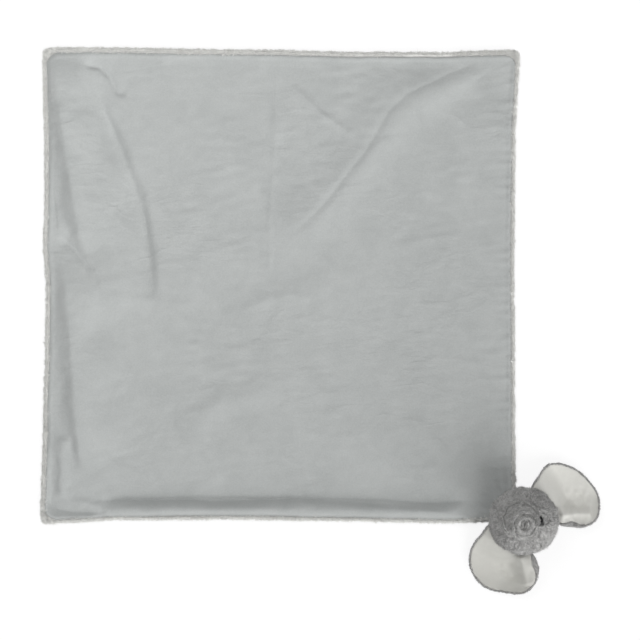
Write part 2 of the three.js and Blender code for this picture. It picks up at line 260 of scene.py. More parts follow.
# Gives a sheet its thickness, on the side away from its faces
def thicken(piece, thickness):
    chosen(piece)
    wall = piece.modifiers.new("cloth", "SOLIDIFY")
    wall.thickness = thickness
    wall.offset = -1
    bpy.ops.object.modifier_apply(modifier=wall.name)
    return smoothShaded(piece)


def gridFaces(rows, columns, closed=False):
    faces = []
    for low in range(0, (rows - 1) * columns, columns):
        high = low + columns
        for column in range(columns if closed else columns - 1):
            after = (column + 1) % columns
            faces.append((low + column, low + after, high + after, high + column))
    return faces


def toWorld(points):
    x, y, z = np.array(points, float).T
    c, s = math.cos(head["turn"]), math.sin(head["turn"])
    return np.column_stack([head["place"][0] + x * c - y * s, head["place"][1] + x * s + y * c, z])


def toHead(points):
    x, y, z = np.array(points, float).T
    c, s = math.cos(head["turn"]), math.sin(head["turn"])
    x, y = x - head["place"][0], y - head["place"][1]
    return np.column_stack([x * c + y * s, y * c - x * s, z])


def pointsOf(piece):
    spots = np.empty(len(piece.data.vertices) * 3)
    piece.data.vertices.foreach_get("co", spots)
    return spots.reshape(-1, 3)


def turnedToWorld(ways):
    return toWorld(ways) - toWorld([(0, 0, 0)])


def flattened(points):
    return np.column_stack([points[:, :2], np.zeros(len(points))])


# Faces turned over, and numbered on from first
def turnedOver(faces, first=0):
    return [tuple(first + i for i in (face[0], *face[:0:-1])) for face in faces]


# Triangles from a ring of points to the one that closes it
def fan(first, count, tip):
    return [(first + k, first + (k + 1) % count, tip) for k in range(count)]


def grid(rows, columns):
    return (part.ravel() for part in np.meshgrid(rows, columns, indexing="ij"))


def unit(ways):
    return ways / (np.linalg.norm(ways, axis=1)[:, None] + 1e-12)


# Turns an open skin's faces away from a point
def outward(piece, middle):
    total = 0
    for polygon in piece.data.polygons:
        total += polygon.area * polygon.normal.dot(polygon.center - Vector(middle))
    if total < 0:
        piece.data.flip_normals()


# Pile: three-sided tufts with one bend each, spread over the cloth that they grow from

tuft = {
    "sides": 3,
    # shares of its length, its lean and its width
    "rings": ((-0.12, 0.0, 1.0), (0.5, 0.35, 0.85)),
    "tip": (0.9, 1.05),
    "curl": 0.18,
    "lengths": (0.7, 1.25),   # from the shortest to the longest
    "uneven": 0.25,           # how far neighbours are longer or shorter together
    "bent": 0.5,              # how far its shading follows its lean
    "round": 0.35,
    "shadedRise": 0.6,        # where its bend is in the shading from root to tip
    "lowest": 0.0003,         # nothing grows into the floor
}


# Points on a cloth, spread by area, with the normals there
def scatter(piece, count, seed, keep):
    mesh = piece.data
    mesh.calc_loop_triangles()
    corners = np.empty(len(mesh.loop_triangles) * 3, int)
    mesh.loop_triangles.foreach_get("vertices", corners)
    a, b, c = (pointsOf(piece)[corners.reshape(-1, 3)[:, k]] for k in range(3))
    cross = np.cross(b - a, c - a)
    area = np.linalg.norm(cross, axis=1) / 2
    area = area * keep((a + b + c) / 3, unit(cross))
    rng = np.random.default_rng(seed)
    picked = rng.choice(len(area), size=count, p=area / area.sum())
    u, v = rng.uniform(size=count), rng.uniform(size=count)
    over = u + v > 1
    u[over], v[over] = 1 - u[over], 1 - v[over]
    points = a[picked] + u[:, None] * (b - a)[picked] + v[:, None] * (c - a)[picked]
    return points, unit(cross[picked])


# combed is the way that the pile lies, and near one another tufts lean alike, so that they clump
def growPile(name, points, normals, pile, seed, combed=None, shades=None):
    rng = np.random.default_rng(seed)
    count = len(points)
    lean = np.column_stack([hills(points, pile["clump"], seed + k, 18) for k in range(3)])
    lean += rng.normal(scale=pile["stray"], size=(count, 3))
    if combed is not None:
        lean += combed * pile["combed"]
    lean -= (lean * normals).sum(axis=1)[:, None] * normals
    lean *= pile["lean"]
    length = pile["length"] * rng.uniform(*tuft["lengths"], count)
    length *= 1 + tuft["uneven"] * hills(points, pile["clump"] * 2, seed + 7)
    across = unit(np.cross(normals, rng.normal(size=(count, 3))))
    over = np.cross(normals, across)
    sides = tuft["sides"]
    # thin pile lets light through, so it shades as if turned up
    lift = np.array([0, 0, pile.get("lift", 0)])
    spots, soft = [], []
    for rise, bow, width in tuft["rings"]:
        middle = points + normals * (length * rise)[:, None] + lean * (length * bow)[:, None]
        for side in range(sides):
            turn = 2 * math.pi * side / sides
            edge = across * math.cos(turn) + over * math.sin(turn)
            spots.append(middle + edge * (pile["thick"] * width / 2))
            soft.append(unit(normals + lean * tuft["bent"] * bow + edge * tuft["round"] + lift))
    curl = rng.normal(scale=tuft["curl"], size=(count, 3))
    rise, bow = tuft["tip"]
    spots.append(points + normals * (length * rise)[:, None] + (lean * bow + curl) * length[:, None])
    soft.append(unit(normals + lean * tuft["bent"] + lift))
    size = 2 * sides + 1
    base = np.arange(count)[:, None] * size
    quads = (np.array(gridFaces(2, sides, True))[None] + base[:, :, None]).reshape(-1, 4)
    tops = (np.array(fan(sides, sides, 2 * sides))[None] + base[:, :, None]).reshape(-1, 3)
    corners = np.concatenate([quads.ravel(), tops.ravel()]).astype(np.int32)
    sizes = np.concatenate([np.full(len(quads), 4), np.full(len(tops), 3)])
    starts = np.concatenate([[0], np.cumsum(sizes)[:-1]]).astype(np.int32)
    mesh = bpy.data.meshes.new(name)
    mesh.vertices.add(count * size)
    spots = np.stack(spots, axis=1).reshape(-1, 3)
    spots[:, 2] = np.maximum(spots[:, 2], tuft["lowest"])
    mesh.vertices.foreach_set("co", spots.ravel())
    mesh.loops.add(len(corners))
    mesh.loops.foreach_set("vertex_index", corners)
    mesh.polygons.add(len(sizes))
    mesh.polygons.foreach_set("loop_start", starts)
    mesh.update(calc_edges=True)
    rises = np.tile([0.0] * sides + [tuft["shadedRise"]] * sides + [1.0], count)
    if shades is None:
        shades = rng.uniform(0, 1, count)
    mark(mesh, rises, np.repeat(shades, size), np.stack(soft, axis=1).reshape(-1, 3))
    return smoothShaded(linked(name, mesh))


# The marks that the plush materials read, on tufts and on the cloth under them: tuftRise paints shade from
# the roots up, and tuftShade sets each tuft's tone, with painted light on the rim's outward side
def mark(mesh, rises, shades, normals):
    for title, values in (("tuftRise", rises), ("tuftShade", shades)):
        attribute = mesh.attributes.new(title, "FLOAT", "POINT")
        attribute.data.foreach_set("value", np.array(values, np.float32))
    attribute = mesh.attributes.new("softNormal", "FLOAT_VECTOR", "POINT")
    attribute.data.foreach_set("vector", np.array(normals, np.float32).ravel())


# The cloth under the pile is painted darker, as painted shade: the lower its rise, the darker
def markCloth(piece, rise):
    count = len(piece.data.vertices)
    normals = np.array([v.normal[:] for v in piece.data.vertices])
    mark(piece.data, np.full(count, rise), np.full(count, 0.5), normals)


# Tufts are shaded by the cloth's own roundness, as a soft pile is
def softenShading(piece):
    attribute = piece.data.attributes["softNormal"]
    values = np.empty(len(piece.data.vertices) * 3)
    attribute.data.foreach_get("vector", values)
    piece.data.attributes.remove(attribute)
    piece.data.normals_split_custom_set_from_vertices(values.reshape(-1, 3).tolist())
    return piece


# Materials

# Cloudy patches of brushed pile: a mask from 0 to 1 and a height
def makeNapGroup():
    group = bpy.data.node_groups.new("napClouds", "ShaderNodeTree")
    group.interface.new_socket("Vector", in_out="INPUT", socket_type="NodeSocketVector")
    for title in ("Patch Scale", "Fibre Scale", "Fibre Share"):
        group.interface.new_socket(title, in_out="INPUT", socket_type="NodeSocketFloat")
    for title in ("Mask", "Height"):
        group.interface.new_socket(title, in_out="OUTPUT", socket_type="NodeSocketFloat")
    enter = group.nodes.new("NodeGroupInput")
    place, patches, fibres, share = (enter.outputs[k] for k in range(4))
    patch = addNode(group, "TexNoise", {
        "Vector": place, "Scale": patches, "Detail": 4, "Roughness": 0.6, "Distortion": 0.6,
    })
    fibre = addNode(group, "TexNoise", {"Vector": place, "Scale": fibres, "Detail": 3, "Roughness": 0.7})
    fine = maths(group, "MULTIPLY", fibre.outputs["Fac"], share)
    broad = maths(group, "MULTIPLY", patch.outputs["Fac"], maths(group, "SUBTRACT", 1.0, share))
    leave = group.nodes.new("NodeGroupOutput")
    setInputs(group, leave, {"Mask": maths(group, "ADD", fine, broad), "Height": fibre.outputs["Fac"]})
    return group


napGroup = makeNapGroup()
crease = {
    "stretch": (0.4, 1, 1),
    "lines": {"Scale": 46, "Detail": 3, "Distortion": 0.2},
    "thin": 10,
    "places": {"Scale": 9, "Detail": 1},
    "placed": {"From Min": 0.40, "From Max": 0.70},
    "strength": 0.6,
}


# Thin creases, mostly across the blanket, in some places more than in others
def crumpled(tree, place, depth):
    stretched = addNode(tree, "Mapping", {"Vector": place, "Scale": crease["stretch"]}).outputs[0]
    noise = addNode(tree, "TexNoise", {"Vector": stretched, **crease["lines"]})
    where = addNode(tree, "TexNoise", {"Vector": place, **crease["places"]})
    off = maths(tree, "ABSOLUTE", maths(tree, "SUBTRACT", noise.outputs["Fac"], 0.5))
    line = maths(tree, "SUBTRACT", 1.0, maths(tree, "MULTIPLY", off, crease["thin"]))
    spread = addNode(tree, "MapRange", {"Value": where.outputs["Fac"], **crease["placed"]})
    height = maths(tree, "MULTIPLY", maths(tree, "MAXIMUM", line, 0.0), spread.outputs[0])
    bump = addNode(tree, "Bump", {"Height": height, "Strength": crease["strength"], "Distance": depth})
    return bump.outputs["Normal"]


def clothMaterial(name, look):
    material = bpy.data.materials.new(name)
    material.use_nodes = True
    tree = material.node_tree
    place = addNode(tree, "TexCoord", {}).outputs["Object"]
    nap = addNode(tree, "Group", {
        "Vector": place,
        "Patch Scale": look["patches"],
        "Fibre Scale": look["fibres"],
        "Fibre Share": look["fibreShare"],
    }, node_tree=napGroup)
    ramp = addNode(tree, "ValToRGB", {"Fac": nap.outputs["Mask"]})
    for stop, position, tone in zip(ramp.color_ramp.elements, (0.32, 0.68), (look["dark"], look["pale"])):
        stop.position = position
        stop.color = (*tone, 1)
    colour = ramp.outputs["Color"]
    # tufts are painted darker toward their roots, as painted shade; each tuft's own tone varies at random
    if "tuftSpread" in look:
        spread = look["tuftSpread"]
        shades = []
        for title, low, high in (("tuftRise", look["paintedRootShade"], 1), ("tuftShade", 1 - spread, 1 + spread)):
            own = addNode(tree, "Attribute", {}, attribute_name=title).outputs["Fac"]
            shades.append(addNode(tree, "MapRange", {"Value": own, "To Min": low, "To Max": high}).outputs[0])
        strength = maths(tree, "MULTIPLY", *shades)
        colour = addNode(tree, "VectorMath", {0: colour, "Scale": strength}, operation="SCALE").outputs[0]
    relief = {"Height": nap.outputs["Height"], "Strength": look["bump"], "Distance": look["bumpDepth"]}
    if "crumple" in look:
        relief["Normal"] = crumpled(tree, place, look["crumple"])
    bump = addNode(tree, "Bump", relief)
    setInputs(tree, tree.nodes["Principled BSDF"], {
        "Base Color": colour,
        "Normal": bump.outputs["Normal"],
        "Roughness": look["roughness"],
        "Specular IOR Level": 0.15,
        "Sheen Weight": look["sheen"],
        "Sheen Roughness": 0.5,
    })
    return material


plush = {
    "patches": 160, "fibres": 1500, "fibreShare": 0.4, "bump": 0.5, "bumpDepth": 0.0006, "roughness": 1.0,
    "sheen": 0.1,
}
velour = {
    "patches": 40, "fibres": 1300, "fibreShare": 0.4, "bump": 0.3, "bumpDepth": 0.0004, "roughness": 0.95,
    "sheen": 0.1,
}
thread = {"patches": 300, "fibreShare": 0.6, "bumpDepth": 0.0001, "sheen": 0}
looks = {
    "front": {
        **plush, "dark": (0.385, 0.400, 0.395), "pale": (0.475, 0.490, 0.484), "patches": 30, "fibres": 700,
        "fibreShare": 0.55, "bump": 0.4, "roughness": 0.95, "sheen": 0.3, "crumple": 0.0009,
    },
    "back": {
        **plush, "dark": (0.70, 0.70, 0.675), "pale": (0.86, 0.86, 0.83), "patches": 150, "fibres": 1400,
        "fibreShare": 0.5, "bumpDepth": 0.0008, "paintedRootShade": 0.94, "tuftSpread": 0.16,
    },
    "head": {
        **plush, "dark": (0.46, 0.456, 0.447), "pale": (0.80, 0.795, 0.783),
        "paintedRootShade": 0.55, "tuftSpread": 0.36,
    },
    "trunk": {
        **plush, "dark": (0.53, 0.526, 0.516), "pale": (0.82, 0.815, 0.80),
        "paintedRootShade": 0.45, "tuftSpread": 0.2,
    },
    "ear": {**velour, "dark": (0.645, 0.641, 0.606), "pale": (0.735, 0.73, 0.69)},
    # the same velour painted darker for the left ear, as painted shade
    "earPaintedShade": {**velour, "dark": (0.545, 0.542, 0.51), "pale": (0.625, 0.621, 0.583)},
    "filling": {
        **plush, "dark": (0.75, 0.75, 0.73), "pale": (0.88, 0.88, 0.86), "patches": 90, "fibres": 700,
        "fibreShare": 0.5, "bump": 0.6, "bumpDepth": 0.001, "sheen": 0,
    },
    "thread": {
        **thread, "dark": (0.49, 0.495, 0.49), "pale": (0.59, 0.595, 0.59), "fibres": 3000, "bump": 0.4,
        "roughness": 0.7,
    },
    "eye": {
        **thread, "dark": (0.006, 0.006, 0.007), "pale": (0.016, 0.016, 0.018), "fibres": 4000, "bump": 0.3,
        "roughness": 0.45,
    },
}
materials = {name: clothMaterial(name + "Cloth", look) for name, look in looks.items()}
print("materials made")


def clothed(piece, name):
    piece.data.materials.append(materials[name])
    return piece


# Outline and seams of the blanket

blanket = {
    "half": 0.25,
    # how far each edge lies outside a 500 mm square, in mm, from its left or lower end to the other
    "left": (4.2, 2.5, 0.7, 0.8, -1.0, -1.6, -2.6, 0.8, -0.3, -0.7, -0.5, 0.8, 1.4),
    "right": (1.7, -0.2, -0.7, -1.3, -0.7, -0.3, 5.5),
    "top": (2.2, 2.0, 0.4, -0.8, -2.9, -3.0, -0.4),
    "bottom": (3.2, -0.7, -1.6, -1.1, 0.3, 2.4, 0.5),
    "cornerRadius": 0.005,
    "seamCorner": 0.013,      # the front's corners are rounder than the back's
    "seamIn": {"left": 0.0040, "right": 0.0028, "top": 0.0048, "bottom": 0.0029},
    "wobble": 0.0004,
    "wobbleSize": 0.035,
    "border": 0.036,          # as wide as its finer outer cells reach
    "clothThickness": 0.0012,
    "pressed": 0.37,          # how much thinner it is where it goes into the neck
    "pressedReach": (0.030, 0.072),        # from the head's middle
}


def swayed(points):
    half = blanket["half"]
    flat = flattened(points)
    result = points.copy()

    def edge(side, along):
        stations = np.linspace(-half, half, len(blanket[side]))
        return np.interp(along, stations, np.array(blanket[side]) / 1000)

    for axis, (low, high) in enumerate((("left", "right"), ("bottom", "top"))):
        away, along = points[:, axis], points[:, 1 - axis]
        up = np.clip(away / half, 0, 1.2) ** 2
        down = np.clip(-away / half, 0, 1.2) ** 2
        result[:, axis] += up * edge(high, along) - down * edge(low, along)
        result[:, axis] += blanket["wobble"] * (up + down) * hills(flat, blanket["wobbleSize"], 3 + axis)
    return result


# Near the head the blanket is squeezed thin
def pressed(points):
    away = np.linalg.norm(toHead(points)[:, :2], axis=1)
    near = 1 - smooth(*blanket["pressedReach"], away)
    result = points.copy()
    result[:, 2] *= 1 - blanket["pressed"] * near
    return result


# A square grid over the cloth, drawn in by inset from its edges, with round corners and few cells in a border
def squareGrid(cells, few, inset, radius):
    half = blanket["half"]
    inner = 1 - blanket["border"] / half
    line = np.interp(np.arange(cells + 1), (0, few, cells - few, cells), (-1, -inner, inner, 1))
    u, v = np.meshgrid(line, line)
    flat = np.column_stack([u.ravel(), v.ravel()])
    r = radius / half
    core = np.clip(flat, -(1 - r), 1 - r)
    past = flat - core
    longest = np.abs(past).max(axis=1)
    reach = np.linalg.norm(past, axis=1)
    scale = np.where(reach > 1e-9, longest / np.maximum(reach, 1e-9), 1)
    flat = core + past * scale[:, None]
    low = np.array([inset["left"], inset["bottom"]]) - half
    high = half - np.array([inset["right"], inset["top"]])
    return low + (flat + 1) / 2 * (high - low)


def evenInset(width):
    return dict.fromkeys(blanket["seamIn"], width)


def edgeLoop(cells):
    n = cells + 1
    lower = list(range(cells))
    right = [i * n + cells for i in range(cells)]
    upper = [cells * n + i for i in range(cells, 0, -1)]
    left = [i * n for i in range(cells, 0, -1)]
    return lower + right + upper + left


# Front

front = {
    "cells": 288,
    "borderCells": 32,
    "under": 4,               # cells of the top to one of the underside
    "seamHeight": 0.0080,
    "level": 0.0092,
    "levelReach": 0.010,
    "bead": 0.0008,           # the cloth's edge turned in at the seam
    "beadIn": 0.0024,
    "beadWidth": 0.0022,
    "free": 0.005,            # how far in from the seam it can swell
    "calm": (0.030, 0.060),   # no folds where the corner goes under the head
    # depth of the hollow inside the top and the bottom border, and where it starts and fades out
    "topDip": 0.0012,
    "lowDip": 0.0022,
    "dipStart": 0.014,
    "dipFade": (0.02, 0.09),
    "gather": 0.0008,         # small pleats that run into the neck
    "gathers": 26,
    "gatherReach": (0.040, 0.066),
    "gatherSway": (2.5, 0.03),
    "gatherFrom": 0.006,
    # heights and sizes of the cloth's unevenness
    "broad": (0.0008, 0.10),
    "fine": (0.00022, 0.014),
    "fineFrom": 0.02,
    "creased": (0.00040, 0.012),
    "creasedLong": (0.35, 1, 1),
    "creasedPlaces": 0.12,
    # puckers along the seam, which are longer and stronger on the right
    "pucker": 0.0004,
    "puckerRight": 0.0009,
    "puckerSize": 0.011,
    "puckerLong": (0.3, 1, 1),
    "puckerFrom": 0.003,
    "puckerReach": (0.010, 0.006),
    "rightSide": (0.10, 0.22),
    "lowest": 0.0022,
}

# Folds across the front, in mm: how far in from the seam each has its full height, its rise (below 0 for a
# groove), how far it spreads to its left and to its right, over what length its ends fade, its power and its
# line. Power 1 is a sharp crease and 2 a soft swell, and a round one rises like a roll
folds = [
    # valley down the left, under a crease
    (5, -6.8, 7, 16, 60, 2, [
        (-204, 220), (-193, 197), (-181, 170), (-171, 144), (-158, 110), (-145, 71), (-140, 37), (-138, 0),
        (-138, -29),
    ]),
    (5, -3.6, 4.5, 3, 12, 1.2, [(-209, 232), (-190, 229), (-179, 218), (-173, 204), (-160, 198)]),
    (5, 1.4, 18, 22, 50, 2, [
        (-219, 214), (-214, 191), (-210, 167), (-204, 144), (-192, 101), (-185, 69), (-179, 37), (-176, 5),
        (-173, -43),
    ]),
    # the front swells up from its left border
    (5, 10.8, 34, 11, 50, 2, [
        (-238, 256), (-235, 218), (-230, 176), (-224, 133), (-216, 90), (-209, 56), (-199, 24),
    ]),
    (5, 10.4, 36, 10, 70, 2, [
        (-234, 52), (-228, 5), (-225, -16), (-221, -59), (-216, -106), (-214, -133), (-211, -165),
        (-208, -191), (-197, -213),
    ]),
    (5, 4, 8, 7, 12, 2, [(-230, -156), (-229, -188), (-229, -229)]),
    (5, -4.2, 4.2, 4.8, 15, 1.2, [(-237, 55), (-216, 37), (-204, 20), (-193, 14)]),
    # long fold from the upper right corner
    (5, -1.5, 4, 3.4, 50, 1.3, [
        (221, 243), (188, 231), (168, 221), (135, 205), (116, 186), (103, 162), (90, 141), (70, 116),
        (51, 90), (36, 74), (12, 53), (-1, 45),
    ]),
    (35, 5.6, 19, 36, 50, 2, [
        (229, 241), (195, 226), (175, 215), (147, 200), (127, 183), (112, 160), (94, 135), (75, 112),
        (56, 87), (35, 67), (13, 50), (-6, 35),
    ]),
    (5, -2, 10, 4, 40, 1.3, [(238, 238), (220, 228), (204, 217), (187, 202)]),
    (5, -0.9, 5, 3, 20, 1.2, [(-1, 41), (-7, 24), (-10, 0)]),
    # creases in the middle
    (5, 2.6, 3.6, 3, 30, 1.3, [(8, 218), (27, 200), (43, 184), (65, 169), (89, 152)]),
    (5, 0.7, 3, 3, 20, 1.5, [(-3, 239), (-5, 154), (-11, 59), (-8, -5)]),
    (5, 2.6, 14, 15, 40, 2, [(-113, -166), (-88, -145), (-61, -124), (-36, -118), (11, -105)]),
    (5, 1.7, 8, 7, 30, 1.6, [(-45, -27), (-19, -17), (11, -10), (41, -12)]),
    (5, -1, 6, 10, 30, 1.4, [(-57, -64), (-19, -56), (22, -59)]),
    (5, 0.9, 5, 8, 30, 1.4, [(-138, -16), (-106, -21), (-69, -16)]),
    (5, 0.8, 6, 5, 40, 1.4, [(107, 37), (139, 45), (171, 52), (203, 50)]),
    (5, -0.8, 7, 4, 40, 1.4, [(54, 165), (107, 159), (160, 167)]),
    (5, 3, 10, 7, 40, 1.6, [(126, -118), (143, -144), (163, -167), (187, -193)]),
    # the bottom border stands up behind a crease
    (5, 9.4, 9.5, 9.6, 40, "round", [
        (-195, -238), (-170, -238), (-127, -239), (-63, -240), (22, -238), (107, -238), (171, -239),
        (213, -240),
    ]),
    (5, -2.6, 3.5, 3.5, 40, 1.2, [
        (-199, -229), (-170, -229), (-85, -229), (22, -229), (118, -232), (171, -235),
    ]),
    (5, 2.4, 5, 4, 20, 2, [(-225, -226), (-208, -230), (-191, -235), (-172, -241)]),
    (5, -2.6, 4, 4, 12, 1.2, [(-246, -220), (-242, -230), (-234, -237), (-219, -240), (-187, -243)]),
]
foldWander = 0.25             # how unevenly a fold spreads along its line


# Height of one fold over the points, from how far they lie from its line and on which side, all in mm
def foldHeight(points, rise, left, right, fade, power, line):
    line = np.array(line, float)
    steps = np.diff(line, axis=0)
    lengths = np.linalg.norm(steps, axis=1)
    total = lengths.sum()
    least = np.full(len(points), np.inf)
    side = np.zeros(len(points))
    along = np.zeros(len(points))
    before = 0
    for start, step, length in zip(line, steps, lengths):
        off = points[:, :2] - start
        t = np.clip(off @ step / length ** 2, 0, 1)
        gap = off - t[:, None] * step
        away = np.linalg.norm(gap, axis=1)
        nearer = away < least
        least[nearer] = away[nearer]
        side[nearer] = (step[0] * gap[:, 1] - step[1] * gap[:, 0])[nearer]
        along[nearer] = (before + t * length)[nearer]
        before += length
    reach = np.where(side > 0, left, right) * (1 + foldWander * hills(flattened(points), total / 4, 21))
    held = np.minimum(smooth(0, fade, along), smooth(0, fade, total - along))
    if power == "round":
        across = np.maximum(1 - (least / reach) ** 2, 0)
    else:
        across = np.exp(-((least / reach) ** power))
    return rise * np.maximum(held, 0.1) * across


# How far points lie inside the front's seam, and inside its top and bottom alone
def insideSeam(x, y):
    half, seamIn, corner = blanket["half"], blanket["seamIn"], blanket["seamCorner"]
    fromTop, fromBottom = half - seamIn["top"] - y, half - seamIn["bottom"] + y
    across = np.minimum(half - seamIn["right"] - x, half - seamIn["left"] + x)
    upright = np.minimum(fromTop, fromBottom)
    rounded = corner - np.hypot(corner - across, corner - upright)
    inward = np.where((across < corner) & (upright < corner), rounded, np.minimum(across, upright))
    return np.maximum(inward, 0), fromTop, fromBottom


def frontHeight(points):
    flat = flattened(points)
    x, y = points[:, 0], points[:, 1]
    inward, fromTop, fromBottom = insideSeam(x, y)
    free = smooth(0, front["free"], inward)
    local = toHead(flat)
    calm = smooth(*front["calm"], local[:, 1])
    rise = front["level"] - front["seamHeight"]
    height = front["seamHeight"] + rise * (1 - np.exp(-inward / front["levelReach"]))
    height += front["bead"] * np.exp(-(((inward - front["beadIn"]) / front["beadWidth"]) ** 2))
    for clear, *fold in folds:
        height += foldHeight(points * 1000, *fold) / 1000 * smooth(0, clear / 1000, inward) * calm
    for dip, away in ((front["topDip"], fromTop), (front["lowDip"], fromBottom)):
        height -= dip * smooth(0, front["dipStart"], away) * (1 - smooth(*front["dipFade"], away)) * free
    away = np.hypot(local[:, 0], local[:, 1])
    turn = front["gathers"] * np.arctan2(local[:, 0], local[:, 1])
    pleats = np.sin(turn + rough(flat, front["gatherSway"], 37))
    pleats = front["gather"] * pleats * (1 - smooth(*front["gatherReach"], away))
    height += pleats * smooth(0, front["gatherFrom"], inward)
    height += rough(flat, front["broad"], 31) * free * calm
    height += rough(flat, front["fine"], 32, 40) * smooth(0, front["fineFrom"], inward)
    some = smooth(-0.2, 1, hills(flat, front["creasedPlaces"], 35))
    height += rough(flat * front["creasedLong"], front["creased"], 34, 40) * some * free
    right = smooth(*front["rightSide"], x) * (np.abs(y) < x)
    size = front["puckerSize"]
    wavy = hills(flat * front["puckerLong"], size, 33) * right + hills(flat, size, 36) * (1 - right)
    strength = front["puckerRight"] * right + front["pucker"] * (1 - right)
    reach, more = front["puckerReach"]
    fade = np.exp(-inward / (reach + more * right)) * smooth(0, front["puckerFrom"], inward)
    height += strength * wavy * fade
    return np.maximum(height, front["lowest"])


# A closed sheet: the folds are on its top, and its underside is plainer
def makeFront():
    cells, under = front["cells"], front["under"]
    flat = squareGrid(cells, front["borderCells"], blanket["seamIn"], blanket["seamCorner"])
    top = np.column_stack([flat, np.zeros(len(flat))])
    top[:, 2] = frontHeight(top)
    spread = top.reshape(cells + 1, cells + 1, 3)
    low = spread[:, :, 2]
    index = np.arange(cells + 1)
    for shift in (-under, -under // 2, under // 2, under):
        near = np.clip(index + shift, 0, cells)
        low = np.minimum(low, np.minimum(spread[near, :, 2], spread[:, near, 2]))
    below = spread[::under, ::under].reshape(-1, 3).copy()
    below[:, 2] = low[::under, ::under].ravel() - blanket["clothThickness"]
    first = len(top)
    coarse = cells // under
    faces = gridFaces(cells + 1, cells + 1)
    faces += turnedOver(gridFaces(coarse + 1, coarse + 1), first)
    upper, lower = edgeLoop(cells), edgeLoop(coarse)
    for step in range(len(lower)):
        wall = [upper[(step * under + k) % len(upper)] for k in range(under, -1, -1)]
        faces.append((first + lower[step], first + lower[(step + 1) % len(lower)], *wall))
    piece = newObject("front_panel", pressed(swayed(np.vstack([top, below]))), faces)
    return smoothShaded(clothed(piece, "front"))


frontPanel = makeFront()
print("front made")


# Back, whose edge rolls up round the front as a rim

rim = {
    "cells": 180,
    "borderCells": 30,
    # share of the way from the blanket's edge to the seam, and height
    "section": [
        (1.10, 0.0004), (0.50, 0.0012), (0.18, 0.0028), (0.09, 0.0048), (0.14, 0.0066),
        (0.26, 0.0074), (0.46, 0.0076), (0.72, 0.0071), (0.93, 0.0068), (1.08, 0.0067),
    ],
    "nubs": 0.0004,
    "nubSize": 0.006,
    "inset": 0.008,           # of the flat underside
    "under": 0.0002,
    "pileInner": 0.2445,      # how far out, how high and how near the head's middle its pile grows
    "pileLowest": 0.0008,
    "pileEnd": 0.012,
    "clothShare": 0.8,        # of the cloth's usual thickness
    # painted shade on the cloth under the pile
    "clothPaintedShade": 0.35,
    # how pale its pile is on top, and how much paler on its outward side, as painted light
    "shade": (0.25, 0.75),
    "clouds": (0.2, 0.004),
    "pile": {"length": 0.0025, "thick": 0.0008, "lean": 0.6, "clump": 0.004, "stray": 0.6, "lift": 1.4},
    "tufts": 10000,           # on each side of the blanket
}


def makeBack():
    cells, few = rim["cells"], rim["borderCells"]
    inner = squareGrid(cells, few, evenInset(rim["inset"]), blanket["cornerRadius"])
    bottom = np.column_stack([inner, np.full(len(inner), rim["under"])])
    loop = edgeLoop(cells)
    count = len(loop)
    edge = squareGrid(cells, few, evenInset(0), blanket["cornerRadius"])[loop]
    toSeam = squareGrid(cells, few, blanket["seamIn"], blanket["seamCorner"])[loop] - edge
    rows = []
    for share, height in rim["section"]:
        rows.append(np.column_stack([edge + toSeam * share, np.full(count, height)]))
    points = np.concatenate([bottom] + rows)
    faces = turnedOver(gridFaces(cells + 1, cells + 1))
    first = len(bottom)
    for step in range(count):
        after = (step + 1) % count
        faces.append((loop[step], loop[after], first + after, first + step))
        for row in range(len(rows) - 1):
            low, high = first + row * count, first + (row + 1) * count
            faces.append((low + step, low + after, high + after, high + step))
    points[:, 2] += hills(points, rim["nubSize"], 41) * rim["nubs"] * smooth(0, 0.004, points[:, 2])
    piece = newObject("back_panel", pressed(swayed(points)), faces)
    return smoothShaded(clothed(piece, "back"))


# Pile along one side of the rim
def makeRimPile(side, k):
    x, y = ((0, -1), (1, 0), (0, 1), (-1, 0))[k]

    def onRim(centres, normals):
        out = centres[:, 0] * x + centres[:, 1] * y
        other = np.abs(centres[:, 0] * y + centres[:, 1] * x)
        ownSide = (out > rim["pileInner"]) * (out >= other)
        return ownSide * (centres[:, 2] > rim["pileLowest"]) * (toHead(centres)[:, 1] > rim["pileEnd"])

    spots, normals = scatter(backPanel, rim["tufts"], 51 + k, onRim)
    # pile that faces outward is painted paler, as painted light at the thin edge
    out = np.clip(normals[:, 0] * x + normals[:, 1] * y, 0, 1)
    onTop, paintedEdgeLight = rim["shade"]
    shades = np.clip(onTop + paintedEdgeLight * out + rough(spots, rim["clouds"], 65 + k), 0, 1)
    pile = growPile("rim_pile_" + side, spots, normals, rim["pile"], 61 + 10 * k, None, shades)
    return clothed(pile, "back")


backPanel = makeBack()
rimPiles = [makeRimPile(side, k) for k, side in enumerate(("bottom", "right", "top", "left"))]
thicken(backPanel, blanket["clothThickness"] * rim["clothShare"])
markCloth(backPanel, rim["clothPaintedShade"])
print("back and rim made")


# Stitches in the groove between the rim and the front: one is modelled and copied along

stitchEnd = {"step": 0.45, "narrow": 0.4}
edgeStitch = {
    "pitch": 0.0032, "length": 0.0027, "thickness": 0.0007, "height": 0.0078, "out": 0.0002, "endsAt": 0.024,
}


# Selects the faces at both ends of a stitch, for an edit
def pickEnds(stitch):
    bpy.ops.object.mode_set(mode="EDIT")
    bpy.ops.mesh.select_mode(type="FACE")
    bpy.ops.mesh.select_all(action="DESELECT")
    bpy.ops.object.mode_set(mode="OBJECT")
    for polygon in stitch.data.polygons:
        polygon.select = abs(polygon.normal.x) > 0.9
    bpy.ops.object.mode_set(mode="EDIT")


